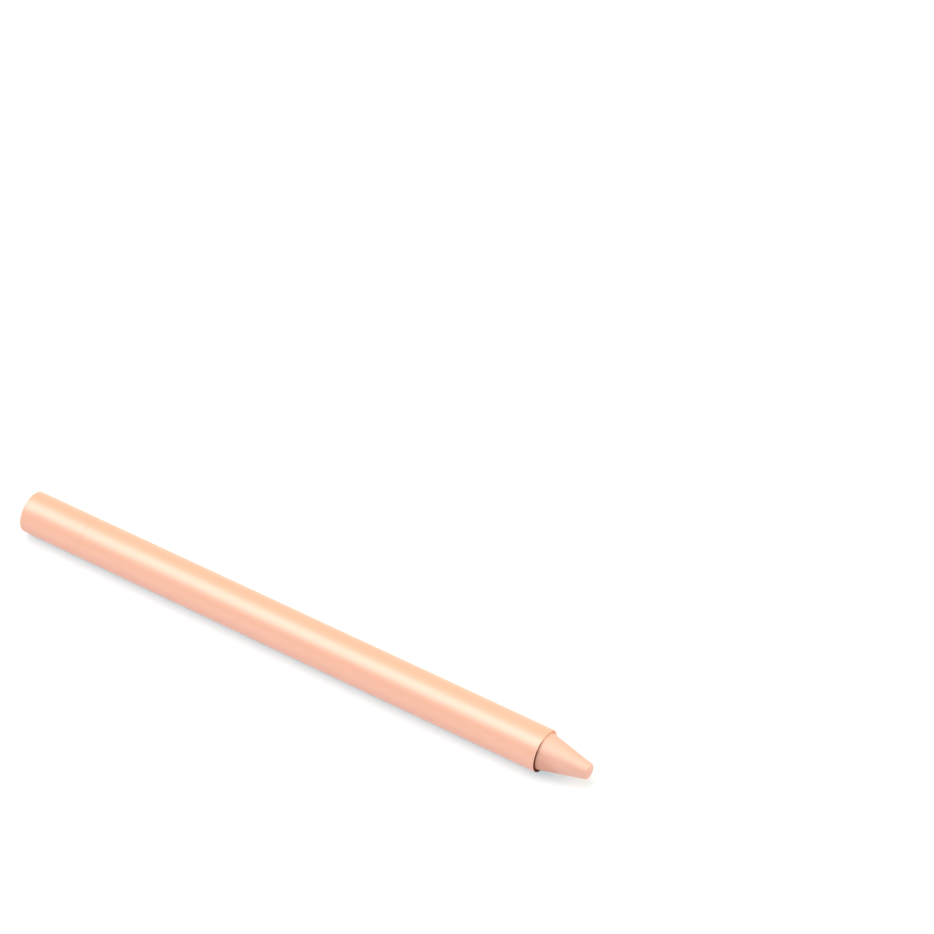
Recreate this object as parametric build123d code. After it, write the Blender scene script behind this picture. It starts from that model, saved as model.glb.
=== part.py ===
from build123d import *
from math import cos, pi
import os

# Twist crayon. Turning the knob at the rear drives a wax stick out of the front of a slim barrel.
# A lead screw held in the knob works in a nut at the rear of a push tube, and the tube's keys run in
# a slotted sleeve inside the barrel, so the tube slides without turning and pushes the stick.
# The crayon lies on its side. +X runs from the knob to the tip, +Z is up, and the origin is on the
# surface it lies on, below the middle of its length. All sizes are in millimetres.

# Barrel
BARREL_DIAMETER = 9.6
BARREL_WALL = 0.55
BODY_LENGTH = 132.2  # from the knob's end face to the barrel's lip
LIP_RADIUS = 0.15

# Twist knob, in line with the barrel and of the same diameter
KNOB_LENGTH = 16.0
KNOB_WALL = 0.9
KNOB_END_WALL = 2.0
KNOB_EDGE_RADIUS = 0.25
KNOB_CLEARANCE = 0.1  # round the plug's spigot
HUB_CLEARANCE = 0.2  # between the knob's hub and the inside of the spigot
SEAM_GAP = 0.03  # end play of the knob and the screw on the plug, seen as the seam at the barrel

# Wax stick and the cup that holds its tail
STICK_CLEARANCE = 0.1
CONE_LENGTH = 10.8
NOSE_DIAMETER = 3.4
NOSE_RADIUS = 0.6
CUP_WALL = 0.6
CUP_DEPTH = 6.0
CUP_FLOOR = 1.2
CUP_SOCKET_DEPTH = 3.0
CUP_SLIT_WIDTH = 0.8
CUP_SLIT_DEPTH = 4.0
CUP_SLIT_PAIRS = 2

# Travel of the stick from where it stands in the barrel at rest, and the gap left at each stop
RETRACT_TRAVEL = 12.0
EXTEND_TRAVEL = 30.0
STOP_GAP = 0.3

# Lead screw: journal, thrust collar and left-hand thread
JOURNAL_DIAMETER = 3.2
JOURNAL_CLEARANCE = 0.05
COLLAR_LENGTH = 1.2
SCREW_DIAMETER = 4.0
THREAD_DEPTH = 0.6
THREAD_LEAD = 4.0
THREAD_CREST_WIDTH = 0.9
THREAD_ROOT_WIDTH = 1.5
THREAD_CLEARANCE = 0.15
THREAD_SINK = 0.2  # depth to which the thread's ridge is rooted in the screw's core

# Push tube with its nut and keys, and the sleeve that guides it
PUSH_TUBE_WALL = 0.6
PUSH_BORE_RELIEF = 0.05  # the tube's bore is this much wider than the nut's thread
NUT_LENGTH = 6.0
KEY_WIDTH = 1.6
KEY_TIP_GAP = 0.3
SLIDE_CLEARANCE = 0.1
SLEEVE_RING_LENGTH = 1.5

# Bearing plug in the barrel's rear end, and the drag ring in its pocket
PLUG_LENGTH = 6.0
SPIGOT_LENGTH = 8.0
SPIGOT_WALL = 0.6
RING_THICKNESS = 0.8

PRESS_GAP = 0.02  # between pieces that are pressed together

# Radii
body_radius = BARREL_DIAMETER / 2
bore_radius = body_radius - BARREL_WALL
pressed_radius = bore_radius - PRESS_GAP
stick_radius = bore_radius - STICK_CLEARANCE
cup_bore_radius = stick_radius - CUP_WALL
screw_radius = SCREW_DIAMETER / 2
push_bore_radius = screw_radius + THREAD_CLEARANCE + PUSH_BORE_RELIEF
push_radius = push_bore_radius + PUSH_TUBE_WALL
sleeve_bore_radius = push_radius + SLIDE_CLEARANCE
key_radius = bore_radius - KEY_TIP_GAP
journal_radius = JOURNAL_DIAMETER / 2
tail_apothem = journal_radius * cos(pi / 6)
ring_bore_radius = journal_radius + PRESS_GAP
ring_pocket_radius = ring_bore_radius + RING_THICKNESS + PRESS_GAP
knob_bore_radius = body_radius - KNOB_WALL
spigot_radius = knob_bore_radius - KNOB_CLEARANCE
spigot_bore_radius = spigot_radius - SPIGOT_WALL
hub_radius = spigot_bore_radius - HUB_CLEARANCE

# Stations along the axis, measured from the knob's end face with the stick at rest
tail_rear = KNOB_END_WALL + STOP_GAP
barrel_rear = KNOB_LENGTH + SEAM_GAP
spigot_rear = barrel_rear - SPIGOT_LENGTH
ring_pocket_front = barrel_rear + RING_THICKNESS + 2 * PRESS_GAP
plug_front = barrel_rear + PLUG_LENGTH
collar_rear = plug_front + SEAM_GAP
collar_front = collar_rear + COLLAR_LENGTH
nut_rear = collar_front + STOP_GAP + RETRACT_TRAVEL
nut_front = nut_rear + NUT_LENGTH
screw_tip = nut_front + EXTEND_TRAVEL
thread_rear = collar_front + THREAD_ROOT_WIDTH
thread_front = screw_tip - THREAD_ROOT_WIDTH
slot_front = screw_tip + STOP_GAP
sleeve_front = slot_front + SLEEVE_RING_LENGTH
cup_rear = sleeve_front + STOP_GAP + RETRACT_TRAVEL
push_front = cup_rear + CUP_SOCKET_DEPTH
cup_floor = push_front + CUP_FLOOR
cup_rim = cup_floor + CUP_DEPTH
total_length = BODY_LENGTH + CONE_LENGTH

STANDING = (Align.CENTER, Align.CENTER, Align.MIN)


def drum(radius, rear, front):
    """Solid cylinder on the axis between two stations."""
    return Pos(0, 0, rear) * Cylinder(radius, front - rear, align=STANDING)


def tube(radius, bore, rear, front):
    """Open tube on the axis between two stations."""
    return drum(radius, rear, front) - drum(bore, rear, front)


def cross_bar(length, width, rear, front):
    """Bar through the axis, running straight from one station to another."""
    return Pos(0, 0, rear) * Box(length, width, front - rear, align=STANDING)


def hexagon_rod(apothem, rear, front):
    """Six-sided rod on the axis between two stations."""
    outline = RegularPolygon(apothem, 6, major_radius=False)
    return Pos(0, 0, rear) * extrude(outline, amount=front - rear)


def screw_form(growth):
    """Threaded length of the screw, grown all round: by nothing for the screw, by a clearance for its nut."""
    core_radius = screw_radius - THREAD_DEPTH + growth
    crest_radius = screw_radius + growth
    crest_half = THREAD_CREST_WIDTH / 2 + growth
    root_half = THREAD_ROOT_WIDTH / 2 + growth
    sunk_radius = core_radius - THREAD_SINK
    sunk_half = root_half + (root_half - crest_half) * THREAD_SINK / THREAD_DEPTH
    outline = Polyline(
        (sunk_radius, -sunk_half),
        (crest_radius, -crest_half),
        (crest_radius, crest_half),
        (sunk_radius, sunk_half),
        close=True,
    )
    path = Helix(THREAD_LEAD, thread_front - thread_rear, crest_radius, lefthand=True)
    ridge = sweep(Plane.XZ * make_face(outline), path=path, is_frenet=True)
    return drum(core_radius, collar_front, screw_tip) + Pos(0, 0, thread_rear) * ridge


def barrel():
    """Straight thin-walled tube with a rounded lip round the stick."""
    shell = tube(body_radius, bore_radius, barrel_rear, BODY_LENGTH)
    lip = shell.edges().group_by(Axis.Z)[-1].sort_by(SortBy.RADIUS)[-1]
    return fillet(lip, LIP_RADIUS)


def twist_knob():
    """Closed rear end of the crayon, with a hub whose six-sided socket grips the screw's tail."""
    shell = drum(body_radius, 0, KNOB_LENGTH)
    shell = fillet(shell.edges().group_by(Axis.Z)[0], KNOB_EDGE_RADIUS)
    shell -= tube(knob_bore_radius, hub_radius, KNOB_END_WALL, KNOB_LENGTH)
    return shell - hexagon_rod(tail_apothem + PRESS_GAP, KNOB_END_WALL, KNOB_LENGTH)


def bearing_plug():
    """Plug in the barrel's rear: a bearing for the screw, and a spigot that the knob turns on."""
    plug = drum(pressed_radius, barrel_rear, plug_front)
    plug += tube(spigot_radius, spigot_bore_radius, spigot_rear, barrel_rear)
    plug -= drum(ring_pocket_radius, barrel_rear, ring_pocket_front)
    return plug - drum(journal_radius + JOURNAL_CLEARANCE, barrel_rear, plug_front)


def drag_ring():
    """Rubber ring in the plug's pocket that rubs on the journal and keeps the knob from drifting."""
    ring_middle = (barrel_rear + ring_pocket_front) / 2
    return Pos(0, 0, ring_middle) * Torus(ring_bore_radius + RING_THICKNESS / 2, RING_THICKNESS / 2)


def lead_screw():
    """Screw with a six-sided tail in the knob, a journal in the plug and a collar that takes the push."""
    screw = hexagon_rod(tail_apothem, tail_rear, KNOB_LENGTH)
    screw += drum(journal_radius, KNOB_LENGTH, collar_rear)
    screw += drum(push_radius, collar_rear, collar_front)
    return screw + screw_form(0)


def guide_sleeve():
    """Sleeve pressed into the barrel, with two slots for the keys that end in a ring as a stop."""
    sleeve = tube(pressed_radius, sleeve_bore_radius, plug_front, sleeve_front)
    return sleeve - cross_bar(BARREL_DIAMETER, KEY_WIDTH + 2 * SLIDE_CLEARANCE, plug_front, slot_front)


def push_tube():
    """Tube with a nut and two keys at its rear end, hollow in front to take the screw."""
    keys = cross_bar(BARREL_DIAMETER, KEY_WIDTH, nut_rear, nut_front) & drum(key_radius, nut_rear, nut_front)
    blank = drum(push_radius, nut_rear, push_front) + keys
    return blank - drum(push_bore_radius, nut_front, push_front) - screw_form(THREAD_CLEARANCE)


def stick_cup():
    """Cup on the push tube's front end, slit into fingers that hold the stick's tail."""
    cup = drum(stick_radius, cup_rear, cup_rim)
    cup -= drum(push_radius + PRESS_GAP, cup_rear, push_front)
    cup -= drum(cup_bore_radius, cup_floor, cup_rim)
    slit = cross_bar(BARREL_DIAMETER, CUP_SLIT_WIDTH, cup_rim - CUP_SLIT_DEPTH, cup_rim)
    for pair in range(CUP_SLIT_PAIRS):
        cup -= Rot(0, 0, 180 / CUP_SLIT_PAIRS * pair) * slit
    return cup


def crayon_stick():
    """Moulded wax stick: a tail in the cup, a shank that fills the bore, and a blunt cone."""
    stick = drum(cup_bore_radius - PRESS_GAP, cup_floor, cup_rim)
    stick += drum(stick_radius, cup_rim, BODY_LENGTH)
    stick += Pos(0, 0, BODY_LENGTH) * Cone(stick_radius, NOSE_DIAMETER / 2, CONE_LENGTH, align=STANDING)
    return fillet(stick.edges().group_by(Axis.Z)[-1], NOSE_RADIUS)


def laid_down(piece):
    """A standing piece turned to lie along +X, with the crayon's middle over the origin."""
    return Pos(-total_length / 2, 0, body_radius) * Rot(0, 90, 0) * piece


PIECES = (
    barrel,
    guide_sleeve,
    bearing_plug,
    drag_ring,
    twist_knob,
    lead_screw,
    push_tube,
    stick_cup,
    crayon_stick,
)

os.makedirs("parts", exist_ok=True)
for make in PIECES:
    export_step(laid_down(make()), f"parts/{make.__name__}.step")
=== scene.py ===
# A twist crayon of peach plastic with a peach wax stick, lying on its side on white paper.
import math

import bmesh
import bpy
from mathutils import Matrix, Vector


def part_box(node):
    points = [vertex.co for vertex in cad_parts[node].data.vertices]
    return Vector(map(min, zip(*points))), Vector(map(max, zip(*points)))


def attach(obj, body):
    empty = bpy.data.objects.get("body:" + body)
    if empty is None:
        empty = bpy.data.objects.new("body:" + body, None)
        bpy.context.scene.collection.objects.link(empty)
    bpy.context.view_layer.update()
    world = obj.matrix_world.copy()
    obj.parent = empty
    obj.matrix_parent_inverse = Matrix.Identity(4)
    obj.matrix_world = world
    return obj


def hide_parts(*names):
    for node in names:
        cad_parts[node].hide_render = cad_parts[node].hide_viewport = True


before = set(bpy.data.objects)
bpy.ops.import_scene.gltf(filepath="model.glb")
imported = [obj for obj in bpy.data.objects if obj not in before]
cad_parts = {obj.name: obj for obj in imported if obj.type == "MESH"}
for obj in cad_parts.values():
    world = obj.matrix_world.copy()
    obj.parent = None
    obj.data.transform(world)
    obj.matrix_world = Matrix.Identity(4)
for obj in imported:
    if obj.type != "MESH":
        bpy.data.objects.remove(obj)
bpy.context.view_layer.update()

# Barrel
# The long front part of the body: a thin tube of coloured polypropylene, extruded and cut to length,
# with its front edge a little rounded. All the other pieces are pressed into it or slide in it.
MM = 0.001
barrel_low, barrel_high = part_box("barrel")
axis_height = (barrel_low.z + barrel_high.z) / 2
body_radius = (barrel_high.z - barrel_low.z) / 2 / MM
barrel_rear = barrel_low.x / MM
lip_front = barrel_high.x / MM
barrel_wall = 0.55
bore_radius = body_radius - barrel_wall
lip_rounding = 0.15
cut_rounding = 0.005


def rounded_outline(corners, closed):
    """Points of an outline in mm whose corners (x, radius, rounding) are rounded and long runs divided."""
    arc_steps = 10
    ring_spacing = 4.0
    ring_beside_arc = 0.3
    bends = []
    for i, (x, radius, rounding) in enumerate(corners):
        here = Vector((x, radius))
        if rounding == 0:
            bends.append(here)
            continue
        back = (Vector(corners[i - 1][:2]) - here).normalized()
        ahead = (Vector(corners[(i + 1) % len(corners)][:2]) - here).normalized()
        half = back.angle(ahead) / 2
        reach = rounding / math.tan(half)
        centre = here + (back + ahead).normalized() * (rounding / math.sin(half))
        start = here + back * reach
        end = here + ahead * reach
        bends.append(start + back * rounding * ring_beside_arc)
        for step in range(arc_steps + 1):
            bends.append(centre + (start - centre).slerp(end - centre, step / arc_steps) * rounding)
        bends.append(end + ahead * rounding * ring_beside_arc)
    points = []
    for here, ahead in zip(bends, bends[1:] + bends[:1]):
        runs = max(1, math.ceil((ahead - here).length / ring_spacing))
        points += [here.lerp(ahead, k / runs) for k in range(runs)]
    return points if closed else points[: points.index(bends[-1]) + 1]


def turned(name, points, closed):
    """Piece turned about the crayon's axis from (x, radius) points in mm."""
    sides = 240
    crease = math.radians(30)
    form = bmesh.new()
    rings = []
    for x, radius in points:
        spots = sides if radius > 0 else 1
        turns = [math.tau * k / sides for k in range(spots)]
        ring = [
            (x * MM, radius * MM * math.cos(turn), axis_height + radius * MM * math.sin(turn))
            for turn in turns
        ]
        rings.append([form.verts.new(spot) for spot in ring])
    for ring, beside in zip(rings, rings[1:] + rings[:1] if closed else rings[1:]):
        for k in range(sides):
            around = (k + 1) % sides
            here = ring[k % len(ring)], ring[around % len(ring)]
            there = beside[around % len(beside)], beside[k % len(beside)]
            form.faces.new(dict.fromkeys(here + there))
    bmesh.ops.recalc_face_normals(form, faces=form.faces)
    mesh = bpy.data.meshes.new(name)
    form.to_mesh(mesh)
    form.free()
    mesh.shade_smooth()
    mesh.set_sharp_from_angle(angle=crease)
    piece = bpy.data.objects.new(name, mesh)
    bpy.context.scene.collection.objects.link(piece)
    return piece


barrel = turned(
    "barrel_tube",
    rounded_outline(
        [
            (barrel_rear, bore_radius, cut_rounding),
            (barrel_rear, body_radius, cut_rounding),
            (lip_front, body_radius, lip_rounding),
            (lip_front, bore_radius, cut_rounding),
        ],
        closed=True,
    ),
    closed=True,
)


def linear(colour):
    """Linear RGBA of an sRGB hex value."""
    parts = [int(colour[k:k + 2], 16) / 255 for k in (1, 3, 5)]
    return [p / 12.92 if p <= 0.04045 else ((p + 0.055) / 1.055) ** 2.4 for p in parts] + [1.0]


def add_node(tree, kind, values=None, links=None, **settings):
    """Adds a node with its settings, the values of its inputs and the outputs that feed them."""
    made = tree.nodes.new(kind)
    for name, value in settings.items():
        setattr(made, name, value)
    for name, value in (values or {}).items():
        made.inputs[name].default_value = value
    for name, output in (links or {}).items():
        tree.links.new(output, made.inputs[name])
    return made


def new_material(name):
    """Material with an empty node tree."""
    made = bpy.data.materials.new(name)
    made.use_nodes = True
    made.node_tree.nodes.clear()
    return made


# Extruded polypropylene, pigmented peach: a satin skin that spreads the light into one broad soft
# streak, with hair-fine die lines along the tube and pigment drawn out into faint streaks. The IOR
# stands above the 1.49 of the plain plastic, for the full strength of that streak.
extruded_pp = new_material("extruded_polypropylene_peach")
tree = extruded_pp.node_tree
place = add_node(tree, "ShaderNodeTexCoord").outputs["Object"]
# Pigment streaks about 1.5 mm wide and 25 mm long.
streak_place = add_node(
    tree, "ShaderNodeMapping",
    {"Scale": (1 / (25 * MM), 1 / (1.5 * MM), 1 / (1.5 * MM))}, {"Vector": place},
)
streaks = add_node(
    tree, "ShaderNodeTexNoise", {"Scale": 1.0, "Detail": 3.0, "Roughness": 0.5},
    {"Vector": streak_place.outputs["Vector"]},
)
# A colour mix takes its factor at input 0 and its two colours at 6 and 7, and gives output 2.
colour = add_node(
    tree, "ShaderNodeMix", {6: linear("#EDAD8B"), 7: linear("#F1B393")},
    {0: streaks.outputs["Fac"]}, data_type="RGBA",
)
# Die lines are some hundredths of a millimetre apart, drawn 0.25 mm apart so that they show.
line_place = add_node(
    tree, "ShaderNodeMapping",
    {"Scale": (1 / (60 * MM), 1 / (0.25 * MM), 1 / (0.25 * MM))}, {"Vector": place},
)
lines = add_node(
    tree, "ShaderNodeTexNoise", {"Scale": 1.0, "Detail": 2.0, "Roughness": 0.6},
    {"Vector": line_place.outputs["Vector"]},
)
gloss = add_node(
    tree, "ShaderNodeMapRange", {"To Min": 0.45, "To Max": 0.51}, {"Value": lines.outputs["Fac"]},
)
line_bump = add_node(
    tree, "ShaderNodeBump", {"Strength": 0.25, "Distance": 0.004 * MM}, {"Height": lines.outputs["Fac"]},
)
# Orange peel of the skin, dimples about 0.9 mm across.
peel = add_node(
    tree, "ShaderNodeTexNoise", {"Scale": 1 / (0.9 * MM), "Detail": 1.0, "Roughness": 0.4},
    {"Vector": place},
)
skin = add_node(
    tree, "ShaderNodeBump", {"Strength": 0.3, "Distance": 0.006 * MM},
    {"Height": peel.outputs["Fac"], "Normal": line_bump.outputs["Normal"]},
)
surface = add_node(
    tree, "ShaderNodeBsdfPrincipled", {"IOR": 1.85, "Specular IOR Level": 1.0},
    {
        "Base Color": colour.outputs[2],
        "Roughness": gloss.outputs["Result"],
        "Normal": skin.outputs["Normal"],
    },
)
add_node(tree, "ShaderNodeOutputMaterial", links={"Surface": surface.outputs["BSDF"]})
barrel.data.materials.append(extruded_pp)

# Cut polypropylene of the lip and the bore: matt from the knife, with painted shade growing over its lower
# front side, so that the lip reads as a ring going from pale peach, painted paler than the barrel, to dark
# brown.
cut_pp = new_material("cut_polypropylene_painted_shade")
tree = cut_pp.node_tree
place = add_node(tree, "ShaderNodeTexCoord").outputs["Object"]
# Blotches about 1 mm across, for an uneven tone and an uneven edge to the painted shade.
blotches = add_node(
    tree, "ShaderNodeTexNoise", {"Scale": 1 / (1 * MM), "Detail": 4.0, "Roughness": 0.6},
    {"Vector": place},
)
# Painted shade grows toward the lower front side, over somewhat less than half the ring, and starts
# unevenly.
shaded_side = Vector((0, -0.76, -0.65))
shade_starts = -0.55 * body_radius
shade_full = 0.25 * body_radius
shade_unevenness = 6.0
toward_shade = add_node(
    tree, "ShaderNodeVectorMath", {1: shaded_side}, {0: place}, operation="DOT_PRODUCT",
)
uneven_shade_depth = add_node(
    tree, "ShaderNodeMath", {1: shade_unevenness * MM},
    {0: blotches.outputs["Fac"], 2: toward_shade.outputs["Value"]}, operation="MULTIPLY_ADD",
)
ring_middle = shaded_side.z * axis_height + shade_unevenness / 2 * MM
painted_shade_mask = add_node(
    tree, "ShaderNodeMapRange",
    {"From Min": ring_middle + shade_starts * MM, "From Max": ring_middle + shade_full * MM},
    {"Value": uneven_shade_depth.outputs["Value"]},
)
# Painted light: the ring's own tone is paler than the barrel's plastic, so that its upper side reads as
# lit.
unshaded_colour = add_node(
    tree, "ShaderNodeMix", {6: linear("#E8BC9C"), 7: linear("#F2CAAC")},
    {0: blotches.outputs["Fac"]}, data_type="RGBA",
)
# Dark brown painted shade laid over the lower front of the ring.
colour = add_node(
    tree, "ShaderNodeMix", {7: linear("#642C10")},
    {0: painted_shade_mask.outputs["Result"], 6: unshaded_colour.outputs[2]}, data_type="RGBA",
)
# Marks of the knife, about 0.1 mm apart.
marks = add_node(
    tree, "ShaderNodeTexNoise", {"Scale": 1 / (0.1 * MM), "Detail": 2.0, "Roughness": 0.6},
    {"Vector": place},
)
skin = add_node(
    tree, "ShaderNodeBump", {"Strength": 0.4, "Distance": 0.01 * MM}, {"Height": marks.outputs["Fac"]},
)
surface = add_node(
    tree, "ShaderNodeBsdfPrincipled", {"IOR": 1.49, "Specular IOR Level": 0.2, "Roughness": 0.75},
    {"Base Color": colour.outputs[2], "Normal": skin.outputs["Normal"]},
)
add_node(tree, "ShaderNodeOutputMaterial", links={"Surface": surface.outputs["BSDF"]})
barrel.data.materials.append(cut_pp)
cut_radius = body_radius - 0.1 * lip_rounding
for face in barrel.data.polygons:
    from_axis = (face.center.yz - Vector((0, axis_height))).length
    face.material_index = 1 if from_axis < cut_radius * MM else 0
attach(barrel, "barrel")
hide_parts("barrel")

# Guide sleeve, bearing plug, lead screw, push tube and stick cup
# The works inside the barrel, moulded in natural white acetal. Sleeve and plug are pressed into the
# barrel, the screw is pressed into the knob, and the tube and its cup slide with the stick.
# Moulded acetal: off-white and a little waxy, with a satin skin and faint swirls where it flowed in.
moulded_acetal = new_material("moulded_acetal_natural")
tree = moulded_acetal.node_tree
place = add_node(tree, "ShaderNodeTexCoord").outputs["Object"]
# Flow swirls about 2 mm across.
swirls = add_node(
    tree, "ShaderNodeTexNoise",
    {"Scale": 1 / (2 * MM), "Detail": 3.0, "Roughness": 0.5, "Distortion": 0.8}, {"Vector": place},
)
colour = add_node(
    tree, "ShaderNodeMix", {6: linear("#E6E3D8"), 7: linear("#F0EEE6")},
    {0: swirls.outputs["Fac"]}, data_type="RGBA",
)
# Grain of the mould, about 0.1 mm.
grain = add_node(
    tree, "ShaderNodeTexNoise", {"Scale": 1 / (0.1 * MM), "Detail": 2.0}, {"Vector": place},
)
gloss = add_node(
    tree, "ShaderNodeMapRange", {"To Min": 0.34, "To Max": 0.46}, {"Value": swirls.outputs["Fac"]},
)
skin = add_node(
    tree, "ShaderNodeBump", {"Strength": 0.3, "Distance": 0.003 * MM}, {"Height": grain.outputs["Fac"]},
)
surface = add_node(
    tree, "ShaderNodeBsdfPrincipled", {"IOR": 1.48},
    {
        "Base Color": colour.outputs[2],
        "Roughness": gloss.outputs["Result"],
        "Normal": skin.outputs["Normal"],
    },
)
add_node(tree, "ShaderNodeOutputMaterial", links={"Surface": surface.outputs["BSDF"]})
for name in ("guide_sleeve", "bearing_plug", "lead_screw", "push_tube", "stick_cup"):
    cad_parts[name].data.materials.clear()
    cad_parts[name].data.materials.append(moulded_acetal)

# Drag ring
# A small rubber ring in the plug's pocket, stretched over the screw's journal, so that the knob
# turns with a little drag and stays where it is put.
# Moulded nitrile rubber: dull black with a fine even grain and a trace of grey bloom.
moulded_nitrile = new_material("moulded_nitrile_rubber_black")
tree = moulded_nitrile.node_tree
place = add_node(tree, "ShaderNodeTexCoord").outputs["Object"]
# Bloom in patches about 0.8 mm across.
bloom = add_node(
    tree, "ShaderNodeTexNoise", {"Scale": 1 / (0.8 * MM), "Detail": 3.0}, {"Vector": place},
)
colour = add_node(
    tree, "ShaderNodeMix", {6: linear("#1B1B1C"), 7: linear("#2C2B2A")},
    {0: bloom.outputs["Fac"]}, data_type="RGBA",
)
# Grain of the rubber, about 0.05 mm.
grain = add_node(
    tree, "ShaderNodeTexNoise", {"Scale": 1 / (0.05 * MM), "Detail": 2.0}, {"Vector": place},
)
dullness = add_node(
    tree, "ShaderNodeMapRange", {"To Min": 0.58, "To Max": 0.74}, {"Value": bloom.outputs["Fac"]},
)
skin = add_node(
    tree, "ShaderNodeBump", {"Strength": 0.4, "Distance": 0.004 * MM}, {"Height": grain.outputs["Fac"]},
)
surface = add_node(
    tree, "ShaderNodeBsdfPrincipled", {"IOR": 1.52},
    {
        "Base Color": colour.outputs[2],
        "Roughness": dullness.outputs["Result"],
        "Normal": skin.outputs["Normal"],
    },
)
add_node(tree, "ShaderNodeOutputMaterial", links={"Surface": surface.outputs["BSDF"]})
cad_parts["drag_ring"].data.materials.clear()
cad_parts["drag_ring"].data.materials.append(moulded_nitrile)

# Twist knob
# The rear end of the body, in line with the barrel: a cap moulded in the same peach polypropylene,
# with a flat end, a hub pressed on the screw's tail inside, and a shallow well where it was gated.
knob_low, knob_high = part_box("twist_knob")
knob_rear = knob_low.x / MM
knob_front = knob_high.x / MM
knob_wall = 0.9
knob_end_wall = 2.0
knob_edge_rounding = 0.25
hub_radius = 3.0
socket_radius = 1.62
gate_well_radius = 0.9
gate_well_depth = 0.2
gate_nub_radius = 0.3
gate_nub_height = 0.1
inner_rounding = 0.03
well_floor = knob_rear + gate_well_depth
floor_inside = knob_rear + knob_end_wall
knob = turned(
    "twist_knob_cap",
    rounded_outline(
        [
            (well_floor - gate_nub_height, 0.0, 0),
            (well_floor - gate_nub_height, gate_nub_radius, inner_rounding),
            (well_floor, gate_nub_radius, inner_rounding),
            (well_floor, gate_well_radius, inner_rounding),
            (knob_rear, gate_well_radius, inner_rounding),
            (knob_rear, body_radius, knob_edge_rounding),
            (knob_front, body_radius, cut_rounding),
            (knob_front, body_radius - knob_wall, cut_rounding),
            (floor_inside, body_radius - knob_wall, inner_rounding),
            (floor_inside, hub_radius, inner_rounding),
            (knob_front, hub_radius, inner_rounding),
            (knob_front, socket_radius, inner_rounding),
            (floor_inside, socket_radius, inner_rounding),
            (floor_inside, 0.0, 0),
        ],
        closed=False,
    ),
    closed=False,
)

# Moulded polypropylene in the barrel's peach: the same satin sheen, with the fine even grain of the
# mould in place of die lines and the pigment swirled instead of drawn out.
moulded_pp = new_material("moulded_polypropylene_peach")
tree = moulded_pp.node_tree
place = add_node(tree, "ShaderNodeTexCoord").outputs["Object"]
# Pigment swirls about 3 mm across.
swirls = add_node(
    tree, "ShaderNodeTexNoise",
    {"Scale": 1 / (3 * MM), "Detail": 3.0, "Roughness": 0.5, "Distortion": 0.6}, {"Vector": place},
)
colour = add_node(
    tree, "ShaderNodeMix", {6: linear("#EDAD8B"), 7: linear("#F1B393")},
    {0: swirls.outputs["Fac"]}, data_type="RGBA",
)
# Spark-eroded grain of the mould, about 0.05 mm, drawn at 0.15 mm so that it shows.
grain = add_node(
    tree, "ShaderNodeTexNoise", {"Scale": 1 / (0.15 * MM), "Detail": 2.0, "Roughness": 0.6},
    {"Vector": place},
)
gloss = add_node(
    tree, "ShaderNodeMapRange", {"To Min": 0.45, "To Max": 0.51}, {"Value": grain.outputs["Fac"]},
)
skin = add_node(
    tree, "ShaderNodeBump", {"Strength": 0.25, "Distance": 0.003 * MM}, {"Height": grain.outputs["Fac"]},
)
surface = add_node(
    tree, "ShaderNodeBsdfPrincipled", {"IOR": 1.85, "Specular IOR Level": 1.0},
    {
        "Base Color": colour.outputs[2],
        "Roughness": gloss.outputs["Result"],
        "Normal": skin.outputs["Normal"],
    },
)
add_node(tree, "ShaderNodeOutputMaterial", links={"Surface": surface.outputs["BSDF"]})
knob.data.materials.append(moulded_pp)
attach(knob, "knob")
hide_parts("twist_knob")

# Crayon stick
# The colouring stick: wax and pigment cast in a mould, with a blunt cone, a round shank that fills
# the barrel's bore and a thinner tail held in the cup.
stick_low, stick_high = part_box("crayon_stick")
stick_rear = stick_low.x / MM
nose_front = stick_high.x / MM
stick_radius = (stick_high.z - stick_low.z) / 2 / MM
tail_radius = 3.53
tail_length = 6.0
nose_radius = 1.7
nose_rounding = 0.6
cast_rounding = 0.1
cone_foot_rounding = 0.4
stick = turned(
    "crayon_stick_wax",
    rounded_outline(
        [
            (stick_rear, 0.0, 0),
            (stick_rear, tail_radius, cast_rounding),
            (stick_rear + tail_length, tail_radius, cast_rounding),
            (stick_rear + tail_length, stick_radius, cast_rounding),
            (lip_front, stick_radius, cone_foot_rounding),
            (nose_front, nose_radius, nose_rounding),
            (nose_front, 0.0, 0),
        ],
        closed=False,
    ),
    closed=False,
)

# Cast pigmented wax: softer and duller than the plastic, light sinks in a little under the skin,
# with a cloudy bloom, specks of pigment and fine rubbed grain. The IOR stands above the 1.45 of plain
# wax, for its greasy sheen.
cast_wax = new_material("cast_wax_peach")
tree = cast_wax.node_tree
place = add_node(tree, "ShaderNodeTexCoord").outputs["Object"]
# Clouds of bloom about 4 mm across.
clouds = add_node(
    tree, "ShaderNodeTexNoise", {"Scale": 1 / (4 * MM), "Detail": 4.0, "Roughness": 0.55},
    {"Vector": place},
)
unshaded_colour = add_node(
    tree, "ShaderNodeMix", {6: linear("#E2A88D"), 7: linear("#E8B097")},
    {0: clouds.outputs["Fac"]}, data_type="RGBA",
)
# A soft painted shade at the cone's foot, next to the painted shade on the lower front of the lip.
foot_shade_middle = Vector((lip_front * MM, 0, axis_height)) + shaded_side * body_radius * MM
foot_shade_reach = 6.6
foot_shade_core = 3.4
from_foot_shade = add_node(
    tree, "ShaderNodeVectorMath", {1: foot_shade_middle}, {0: place}, operation="DISTANCE",
)
foot_shade = add_node(
    tree, "ShaderNodeMapRange", {"From Min": foot_shade_reach * MM, "From Max": foot_shade_core * MM},
    {"Value": from_foot_shade.outputs["Value"]}, interpolation_type="SMOOTHSTEP",
)
# The cone's foot darkened toward a deeper peach by this painted shade.
colour = add_node(
    tree, "ShaderNodeMix", {7: linear("#D48C69")},
    {0: foot_shade.outputs["Result"], 6: unshaded_colour.outputs[2]}, data_type="RGBA",
)
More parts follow.
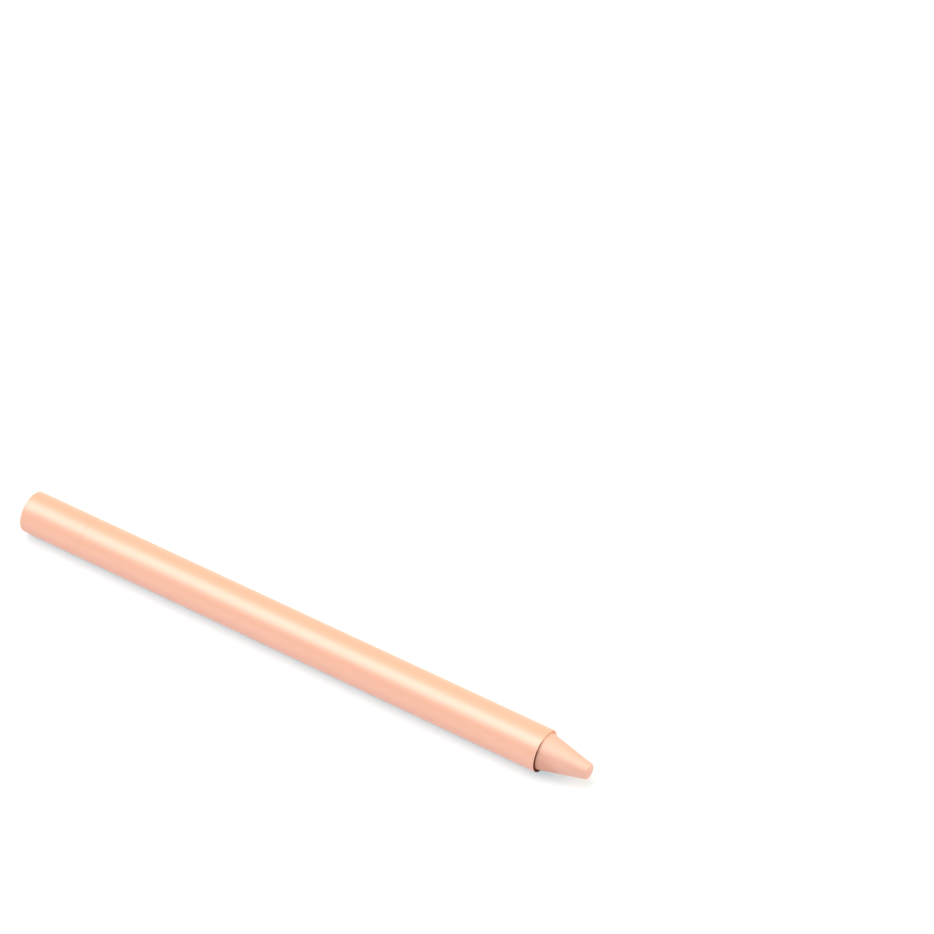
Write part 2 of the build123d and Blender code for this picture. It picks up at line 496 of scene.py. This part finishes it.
# Specks of pigment are some hundredths of a millimetre, drawn at 0.2 mm so that they show.
specks = add_node(
    tree, "ShaderNodeTexNoise", {"Scale": 1 / (0.2 * MM), "Detail": 3.0, "Roughness": 0.7},
    {"Vector": place},
)
dullness = add_node(
    tree, "ShaderNodeMapRange", {"To Min": 0.5, "To Max": 0.6}, {"Value": clouds.outputs["Fac"]},
)
skin = add_node(
    tree, "ShaderNodeBump", {"Strength": 0.3, "Distance": 0.008 * MM}, {"Height": specks.outputs["Fac"]},
)
surface = add_node(
    tree, "ShaderNodeBsdfPrincipled",
    {
        "IOR": 1.88,
        "Specular IOR Level": 1.0,
        "Subsurface Weight": 0.2,
        "Subsurface Radius": (1.0, 0.5, 0.3),
        "Subsurface Scale": 0.8 * MM,
    },
    {
        "Base Color": colour.outputs[2],
        "Roughness": dullness.outputs["Result"],
        "Normal": skin.outputs["Normal"],
    },
)
add_node(tree, "ShaderNodeOutputMaterial", links={"Surface": surface.outputs["BSDF"]})
stick.data.materials.append(cast_wax)
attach(stick, "carriage")
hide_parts("crayon_stick")

# Table
# A round sheet of white paper under the crayon, swept up all round into a low wall, so that the
# white ground has no edge in view from any side.
sweep_radius = 1.2
sweep_bend = 0.2
sweep_height = 0.25
inner_ring = 0.3
bend_steps = 12
sweep_sides = 96
paper_drop = 0.01 * MM
sweep_outline = [Vector((0.0, 0.0)), Vector((inner_ring, 0.0))]
for step in range(bend_steps + 1):
    bend = math.radians(90 * step / bend_steps)
    outward = sweep_radius - sweep_bend + sweep_bend * math.sin(bend)
    sweep_outline.append(Vector((outward, sweep_bend * (1 - math.cos(bend)))))
sweep_outline.append(Vector((sweep_radius, sweep_height)))
form = bmesh.new()
spots = [form.verts.new((spot.x, 0.0, spot.y - paper_drop)) for spot in sweep_outline]
edges = [form.edges.new(pair) for pair in zip(spots, spots[1:])]
bmesh.ops.spin(
    form, geom=spots + edges, axis=(0, 0, 1), cent=(0, 0, 0), angle=math.tau, steps=sweep_sides,
)
bmesh.ops.remove_doubles(form, verts=form.verts, dist=1e-6)
bmesh.ops.recalc_face_normals(form, faces=form.faces)
sheet = bpy.data.meshes.new("paper_sweep")
form.to_mesh(sheet)
form.free()
sheet.shade_smooth()
table = bpy.data.objects.new("paper_sweep", sheet)
bpy.context.scene.collection.objects.link(table)

# Matt white paper: to the camera, and in gloss, it is lifted until only the crayon's shadow is below
# white; to the rest of the light it is plain pale paper.
matt_paper = new_material("matt_white_paper")
tree = matt_paper.node_tree
rays = add_node(tree, "ShaderNodeLightPath")
seen = add_node(
    tree, "ShaderNodeMath", links={0: rays.outputs["Is Camera Ray"], 1: rays.outputs["Is Glossy Ray"]},
    operation="MAXIMUM",
)
seen = add_node(
    tree, "ShaderNodeMath", links={0: seen.outputs[0], 1: rays.outputs["Is Transmission Ray"]},
    operation="MAXIMUM",
)
paper = add_node(tree, "ShaderNodeBsdfDiffuse", {"Color": linear("#E6DAE6")})
shaded_paper = add_node(tree, "ShaderNodeBsdfDiffuse", {"Color": linear("#D2C5C0")})
lift = add_node(tree, "ShaderNodeEmission", {"Color": linear("#9BB8BF"), "Strength": 1.0})
lifted_paper = add_node(
    tree, "ShaderNodeAddShader", links={0: shaded_paper.outputs["BSDF"], 1: lift.outputs["Emission"]},
)
surface = add_node(
    tree, "ShaderNodeMixShader",
    links={0: seen.outputs[0], 1: paper.outputs["BSDF"], 2: lifted_paper.outputs["Shader"]},
)
add_node(tree, "ShaderNodeOutputMaterial", links={"Surface": surface.outputs["Shader"]})
table.data.materials.append(matt_paper)

# Light
# A softbox overhead, leaning a little to the front and the knob's side, a larger, weaker and warmer one
# behind on the tip's side, and an even fill from the room.
toward_key = Vector((-0.27, -0.24, 0.93)).normalized()
key_size = 2.9, 2.45
key_radiance = 3.6
toward_back = Vector((0.5, 0.52, 0.7)).normalized()
back_size = 4.4, 3.4
back_radiance = 1.75
room_fill = 0.3
lamp_distance = 3.0


def softbox(name, toward, size, radiance, colour):
    """Rectangular lamp that faces the origin, with its first side along the crayon; sizes in metres."""
    lamp = bpy.data.lights.new(name, "AREA")
    lamp.shape = "RECTANGLE"
    lamp.size, lamp.size_y = size
    lamp.energy = radiance * math.pi * size[0] * size[1]
    lamp.color = linear(colour)[:3]
    along = (Vector((1, 0, 0)) - toward.x * toward).normalized()
    turn = Matrix((along, toward.cross(along), toward)).transposed().to_4x4()
    placed = bpy.data.objects.new(name, lamp)
    placed.matrix_world = Matrix.Translation(toward * lamp_distance) @ turn
    bpy.context.scene.collection.objects.link(placed)


softbox("key_softbox", toward_key, key_size, key_radiance, "#FFFFFF")
softbox("back_softbox", toward_back, back_size, back_radiance, "#FFF2D4")
room = bpy.data.worlds.new("room")
room.use_nodes = True
room.node_tree.nodes["Background"].inputs["Color"].default_value = linear("#FFFFFF")
room.node_tree.nodes["Background"].inputs["Strength"].default_value = room_fill
bpy.context.scene.world = room

# Camera
# A long lens, looking down on the crayon from in front and from the tip's side, far enough away that
# the barrel hardly tapers in the picture.
lens = 140.55
sensor = 36.0
azimuth = math.radians(31.812)
elevation = math.radians(44.922)
distance = 823.29 * MM
looks_at = Vector((0.284 * MM, 66.548 * MM, 0.0))
toward_camera = Vector((
    math.sin(azimuth) * math.cos(elevation),
    -math.cos(azimuth) * math.cos(elevation),
    math.sin(elevation),
))
optics = bpy.data.cameras.new("camera")
optics.lens = lens
optics.sensor_width = sensor
optics.clip_start = 0.01
optics.clip_end = 20.0
camera = bpy.data.objects.new("camera", optics)
camera.location = looks_at + toward_camera * distance
camera.rotation_euler = toward_camera.to_track_quat("Z", "Y").to_euler()
bpy.context.scene.collection.objects.link(camera)
bpy.context.scene.camera = camera
bpy.context.scene.view_settings.view_transform = "Standard"
